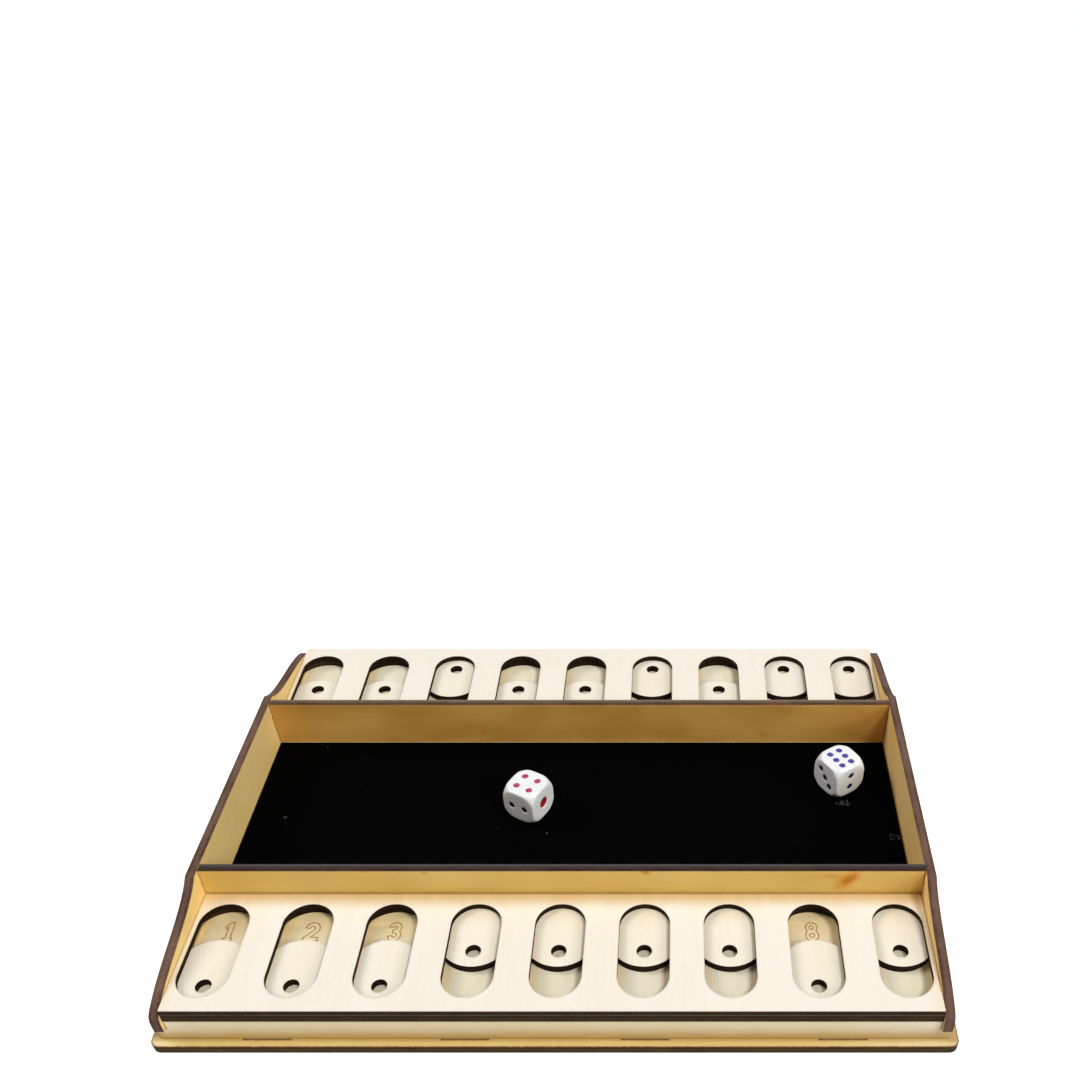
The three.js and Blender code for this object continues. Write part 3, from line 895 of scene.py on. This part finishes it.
def channel_layers():
    """The end channels open towards the side walls, so they are bites out of the outline."""
    radius = CROWN_RADIUS + SLIDE_CLEARANCE
    channels = [
        crowned(place, CHANNEL_START, CHANNEL_END, CHANNEL_HALF, radius) for place in ROW_PLACES[1:-1]
    ]
    end = ROW_PLACES[-1]
    corner = math.degrees(math.acos(CHANNEL_HALF / radius))
    mouth = math.degrees(math.acos((BOARD_HALF - end) / radius))
    bite = arc((end, CHANNEL_START + radius), radius, -mouth, corner - 180)
    bite += arc((end, CHANNEL_END - radius), radius, 180 - corner, mouth)
    right = [(BOARD_HALF, BAND_START)] + bite + [(BOARD_HALF, WALL_OUTER)]
    outline = right + mirrored(right)
    materials = (PALE_FACE, PALE_EDGE, BURNT_SHADED_EDGE)
    add_layers("channel_layer", "pale_plywood", outline, channels, materials, reach=CHANNEL_SCORCH)


def window_panels():
    outline = rectangle(-BOARD_HALF, BOARD_HALF, BAND_START, WALL_OUTER)
    start, end = CHANNEL_START + WINDOW_INNER_LAP, CHANNEL_END - WINDOW_OUTER_LAP
    windows = [crowned(place, start, end, WINDOW_HALF, WINDOW_HALF) for place in ROW_PLACES]
    thickness = PANEL_TOP - low("rear_window_panel", Z)
    materials = (PALE_FACE, PALE_EDGE, BURNT_SHADED_EDGE)
    add_layers("window_panel", "pale_plywood", outline, windows, materials,
               thickness=thickness, reach=WINDOW_SCORCH)


def covers():
    """Sliding covers with bowed ends and a finger hole near the outer end."""
    half = COVER_LENGTH / 2
    outline = crowned(0, -half, half, COVER_HALF_WIDTH, CROWN_RADIUS)
    hole = circle((0, half - FINGER_HOLE_INSET), FINGER_HOLE_RADIUS, FINGER_HOLE_POINTS)
    materials = (COVER_FACE, BURNT_SHADED_EDGE, BURNT_SHADED_EDGE)
    for side, sign in zip(SIDES, (-1, 1)):
        for number in range(1, COVERS_PER_SIDE + 1):
            node = f"{side}_slider_{number}"
            moved_x, moved_y = sign * middle(node, X), sign * middle(node, Y)
            placed = [[(x + moved_x, y + moved_y) for x, y in loop] for loop in (outline, hole)]
            thickness = high(node, Z) - low(node, Z) - COVER_PLAY
            stand = lying(low(node, Z) + COVER_PLAY, side == "front")
            mesh = cut_sheet(node, placed[0], placed[1:], thickness, stand, grain_lines(False), materials)
            show(f"cover_{side}_{number}", mesh, node, "pale_plywood", node)


# Felt and the lint on it

NAP_RISE = 0.05
NAP_SCALE = 0.45
FELT_STEP = 1.1
FELT_SMOOTH_BELOW = 60
LINT_SEED = 5
LINT_RADIUS = 0.08
LINT_TIP = 0.35
LINT_BLUNT = 0.08
LINT_HEIGHT = 0.6 * LINT_RADIUS
LINT_HUMP = 0.25
LINT_SPREAD = (0.7, 0.35)
LINT_BEND = 3
LINT_LENGTHS = (0.3, 0.7)
LINT_SIDES = 5
LINT_STEPS = 8
LINT_SMOOTH_BELOW = 80
LINT_TUFTS = (
    ((-9.7, -9.0), 1.0, 5), ((-27.7, -7.0), 0.6, 2), ((99.2, 6.4), 3.0, 14), ((116.2, -11.4), 2.6, 12),
    ((-106.1, -1.4), 1.2, 4), ((-99.6, 37.5), 0.8, 2),
)


def felt_sheet():
    """Felt cut a little smaller than the tray, with a napped upper side and soft cut edges."""
    half_x, half_y = high("tray_felt", X), high("tray_felt", Y)
    bottom, top = low("tray_felt", Z), high("tray_felt", Z)
    columns, rows = round(2 * half_x / FELT_STEP), round(2 * half_y / FELT_STEP)
    pattern = Pattern(as_drawn, as_drawn)
    for layer in (0, 1):
        for row in range(rows + 1):
            for column in range(columns + 1):
                x = (2 * column / columns - 1) * half_x
                y = (2 * row / rows - 1) * half_y
                nap = noise.fractal(Vector((x, y, 0)) * NAP_SCALE, 1.0, 2.0, 3)
                height = top - NAP_RISE * (0.5 - 0.5 * max(-1, min(1, nap))) if layer else bottom
                pattern.point((x, y, height))
    across = columns + 1
    layer_size = across * (rows + 1)
    for row in range(rows):
        for column in range(columns):
            a = row * across + column
            corners = (a, a + 1, a + 1 + across, a + across)
            pattern.face(tuple(layer_size + corner for corner in corners), 0)
            pattern.face(tuple(reversed(corners)), 0)
    border = list(range(columns)) + [columns + row * across for row in range(rows)]
    border += [rows * across + column for column in range(columns, 0, -1)]
    border += [row * across for row in range(rows, 0, -1)]
    pattern.band(border, [layer_size + number for number in border], 0)
    mesh = pattern.mesh("felt", (FELT,), FELT_SMOOTH_BELOW)
    piece = show("tray_felt_sheet", mesh, "box", "felt", "tray_felt")


def add_fibre(pattern, start, heading, bend, length):
    """Adds one hair: a closed tube, thinner at its ends, that bends sideways and humps up."""
    lower = None
    for step in range(LINT_STEPS + 1):
        share = step / LINT_STEPS
        angle = heading + bend * share
        forward = Vector((math.cos(angle), math.sin(angle), 0))
        side = Vector((-forward.y, forward.x, 0))
        fullness = math.sin(math.pi * min(max(share, LINT_BLUNT), 1 - LINT_BLUNT))
        radius = LINT_RADIUS * (LINT_TIP + (1 - LINT_TIP) * fullness)
        middle_line = start + UNIT_Z * (LINT_HUMP * math.sin(math.pi * share))
        ring = []
        for corner in range(LINT_SIDES):
            turn = 2 * math.pi * corner / LINT_SIDES
            spot = middle_line + (side * math.cos(turn) + UNIT_Z * math.sin(turn)) * radius
            ring.append(pattern.point(tuple(spot)))
        if lower:
            pattern.band(ring, lower, 0)
        else:
            pattern.face(tuple(ring), 0)
        lower = ring
        start = start + forward * (length / LINT_STEPS)
    pattern.face(tuple(reversed(lower)), 0)


def lint_fibres():
    """A few pale fibres on the felt, each a short bent hair, gathered in tufts."""
    chance = random.Random(LINT_SEED)
    pattern = Pattern(as_drawn, as_drawn)
    level = high("tray_felt", Z) + LINT_HEIGHT
    for (x, y), reach, count in LINT_TUFTS:
        for _ in range(count):
            aside = [chance.uniform(-spread, spread) * reach for spread in LINT_SPREAD]
            start = Vector((x + aside[X], y + aside[Y], level))
            heading = chance.uniform(0, 2 * math.pi)
            bend = chance.uniform(-LINT_BEND, LINT_BEND)
            length = reach * chance.uniform(*LINT_LENGTHS)
            add_fibre(pattern, start, heading, bend, length)
    show("lint_on_felt", pattern.mesh("lint", (LINT,), LINT_SMOOTH_BELOW), "box", "felt")


# Dice

DIE_CORNER_RADIUS = 9.75
DIE_TURNS = (-28.9, -56.8)
OPPOSITE_SUM = 7
PIP_RADIUS = 1.2
PIP_DEPTH = 0.5
ACE_RADIUS = 2.1
ACE_DEPTH = 0.9
PIP_SPACING = 2.7
SIX_SPACING = 3.5
SIX_OFFSET = 2.1
PIP_RING_SHARES = (0.3, 0.55, 0.76, 0.9, 1.0, 1.08)
PIP_RING_POINTS = 24
PIP_CLEARANCE = 1.25
PIP_BOWL_POWER = 0.75
EDGE_POWER = 24
CORNER_POWER = 36
DIE_STEPS = 16
WELD_REACH = 0.001
MAGENTA, RED, BLACK, VIOLET, NAVY = range(1, 6)


def pip_places(value):
    s = PIP_SPACING
    corners = [(-s, s), (s, -s), (s, s), (-s, -s)]
    return {
        1: [(0, 0)],
        2: [(-s, 0), (s, 0)],
        3: [corners[0], (0, 0), corners[1]],
        4: corners,
        5: corners + [(0, 0)],
        6: [(step * SIX_SPACING, row * SIX_OFFSET) for step in (-1, 0, 1) for row in (-1, 1)],
    }[value]


def die_reach(direction, half):
    """Distance from the middle of the die to its skin: a soft edged cube inside a ball."""
    sharpness = sum(abs(part) ** EDGE_POWER for part in direction) ** (1 / EDGE_POWER)
    cube = half / sharpness
    return (cube**-CORNER_POWER + DIE_CORNER_RADIUS**-CORNER_POWER) ** (-1 / CORNER_POWER)


def dimple_depth(distance, radius, depth):
    """How far the face is sunk at a distance from a pip's middle: a bowl with a soft lip."""
    share = distance / radius
    lip = PIP_RING_SHARES[-1]
    if share >= lip:
        return 0.0
    bowl = 1 - (share / lip) ** 2
    return depth * bowl**PIP_BOWL_POWER


def die_mesh(name, half, faces, inks):
    """Six faces that meet edge to edge, each cut into triangles round the rings of its pips."""
    points, triangles, finishes = [], [], []
    stops = [half * math.sin(math.pi / 2 * step / DIE_STEPS) for step in range(-DIE_STEPS, DIE_STEPS + 1)]
    for value, normal, across, ink in faces:
        up = normal.cross(across)
        radius, depth = (ACE_RADIUS, ACE_DEPTH) if value == 1 else (PIP_RADIUS, PIP_DEPTH)
        pips = pip_places(value)
        flat = [Vector((x, y)) for x in stops for y in stops
                if all(math.dist((x, y), pip) > radius * PIP_CLEARANCE for pip in pips)]
        edges = []
        for pip in pips:
            flat.append(Vector(pip))
            for share in PIP_RING_SHARES:
                ring = [Vector(point) for point in circle(pip, radius * share, PIP_RING_POINTS)]
                first = len(flat)
                flat += ring
                edges += [(first + index, first + (index + 1) % len(ring)) for index in range(len(ring))]
        result = delaunay_2d_cdt(flat, edges, [], 0, SAME_PLACE, False)
        spots, cells = result[0], result[2]
        first = len(points)
        for spot in spots:
            direction = (across * spot.x + up * spot.y + normal * half).normalized()
            sunk = max(dimple_depth(math.dist(spot, pip), radius, depth) for pip in pips)
            points.append(direction * die_reach(direction, half) - normal * sunk)
        for corners in cells:
            centre = sum((spots[corner] for corner in corners), Vector((0, 0))) / 3
            inside = min(math.dist(centre, pip) for pip in pips) < radius * PIP_RING_SHARES[-2]
            triangles.append(tuple(first + corner for corner in corners))
            finishes.append(ink if inside else 0)
    made = new_mesh(name, points, triangles, finishes, (DICE_PLASTIC, *inks))
    store_places(made, "grain", points)
    return made


def weld(mesh):
    """Joins the points that neighbouring faces share."""
    cells = bmesh.new()
    cells.from_mesh(mesh)
    bmesh.ops.remove_doubles(cells, verts=cells.verts, dist=WELD_REACH * MM)
    bmesh.ops.recalc_face_normals(cells, faces=cells.faces)
    cells.to_mesh(mesh)
    cells.free()
    mesh.shade_smooth()


def dice():
    """Opposite faces add up to seven. On both dice 1 is red and 4 magenta; the rest are black on
    the first, and blue on the second, whose 6 is more violet."""
    inks = (
        pip_ink("magenta_pips", tint(178, 44, 88), tint(206, 92, 128)),
        pip_ink("red_pips", tint(150, 10, 26), tint(176, 34, 44)),
        pip_ink("black_pips", tint(20, 20, 30), tint(44, 44, 58)),
        pip_ink("violet_pips", tint(62, 56, 150), tint(98, 92, 182)),
        pip_ink("navy_pips", tint(26, 24, 84), tint(52, 50, 116)),
    )
    painted = (
        (1, 5, 4, UNIT_Y, {1: RED, 4: MAGENTA}, BLACK),
        (2, 4, 6, UNIT_Z, {1: RED, 4: MAGENTA, 6: VIOLET}, NAVY),
    )
    for index, (right, rear, top, right_across, special, usual) in enumerate(painted):
        node = f"die_{index + 1}"
        sides = (
            (right, UNIT_X, right_across), (OPPOSITE_SUM - right, -UNIT_X, UNIT_Y),
            (rear, UNIT_Y, UNIT_X), (OPPOSITE_SUM - rear, -UNIT_Y, UNIT_X),
            (top, UNIT_Z, UNIT_X), (OPPOSITE_SUM - top, -UNIT_Z, UNIT_X),
        )
        faces = [(value, normal, across, special.get(value, usual)) for value, normal, across in sides]
        half = (high(node, Z) - low(node, Z)) / 2
        mesh = die_mesh(node, half, faces, inks)
        weld(mesh)
        centre = Vector((middle(node, X), middle(node, Y), middle(node, Z))) * MM
        turn = Matrix.Rotation(math.radians(DIE_TURNS[index]), 4, "Z")
        mesh.transform(Matrix.Translation(centre) @ turn)
        show(f"white_{node}", mesh, node, "dice_plastic", node)


# Stage: a pale floor, a dim even surround, and lamps with their places, widths and powers

FLOOR_SIZE = 3.0
FLOOR_COLOUR = (0.8, 0.8, 0.8, 1)
FLOOR_GLOW = 0.64
AMBIENT = 0.13
LAMP_TARGET = Vector((0, 0, 0.01))
LAMPS = (
    ("key_lamp", (1.17, -0.91, 2.6), 0.9, 45),
    ("side_lamp", (2.23, -1.34, 1.49), 1.4, 27),
    ("fill_lamp", (-1.89, 0.42, 1.75), 1.3, 27.5),
)


def floor():
    finish = Finish("floor", Specular_IOR_Level=0.0, Roughness=1.0, Base_Color=FLOOR_COLOUR)
    glow = finish.background_ray() * FLOOR_GLOW
    finish.set(Emission_Color=finish.mix(glow, (0, 0, 0, 1), (1, 1, 1, 1)), Emission_Strength=1.0)
    half = FLOOR_SIZE / 2
    mesh = bpy.data.meshes.new("floor")
    corners = [(x, y, 0) for x, y in rectangle(-half, half, -half, half)]
    mesh.from_pydata(corners, [], [(0, 1, 2, 3)])
    mesh.materials.append(finish.material)
    plane = bpy.data.objects.new("floor", mesh)
    bpy.context.scene.collection.objects.link(plane)


def surround():
    world = bpy.data.worlds.new("surround")
    bpy.context.scene.world = world
    backdrop = Nodes(world, "Background")
    backdrop.set(Color=(1, 1, 1, 1), Strength=AMBIENT + backdrop.background_ray() * (1 - AMBIENT))


def lamp(name, place, width, power):
    light = bpy.data.lights.new(name, "AREA")
    light.shape = "DISK"
    light.size = width
    light.energy = power
    holder = bpy.data.objects.new(name, light)
    bpy.context.scene.collection.objects.link(holder)
    holder.location = place
    holder.rotation_euler = (LAMP_TARGET - Vector(place)).to_track_quat("-Z", "Y").to_euler()


def studio():
    floor()
    surround()
    for name, place, width, power in LAMPS:
        lamp(name, place, width, power)


# Camera: where the photograph was taken from; its axis meets the picture right of the game's middle

PICTURE = 1080
AXIS_PIXEL = (679.9, 750)
FOCAL_PIXELS = 1099.3
SENSOR = 36
CAMERA_PLACE = (38.66, -283.0, 298.21)
CAMERA_PITCH = 42.16
CLIP_START = 0.01


def camera():
    view = bpy.data.cameras.new("camera")
    view.sensor_width = SENSOR
    view.lens = FOCAL_PIXELS / PICTURE * SENSOR
    view.shift_x = (PICTURE / 2 - AXIS_PIXEL[0]) / PICTURE
    view.shift_y = (AXIS_PIXEL[1] - PICTURE / 2) / PICTURE
    view.clip_start = CLIP_START
    holder = bpy.data.objects.new("camera", view)
    bpy.context.scene.collection.objects.link(holder)
    holder.location = Vector(CAMERA_PLACE) * MM
    holder.rotation_euler = (math.radians(90 - CAMERA_PITCH), 0, 0)
    bpy.context.scene.camera = holder


camera()
studio()
base_plate()
inner_boards()
end_walls()
partitions()
side_walls()
number_boards()
channel_layers()
window_panels()
covers()
felt_sheet()
lint_fibres()
dice()

bpy.context.scene.view_settings.view_transform = "Standard"
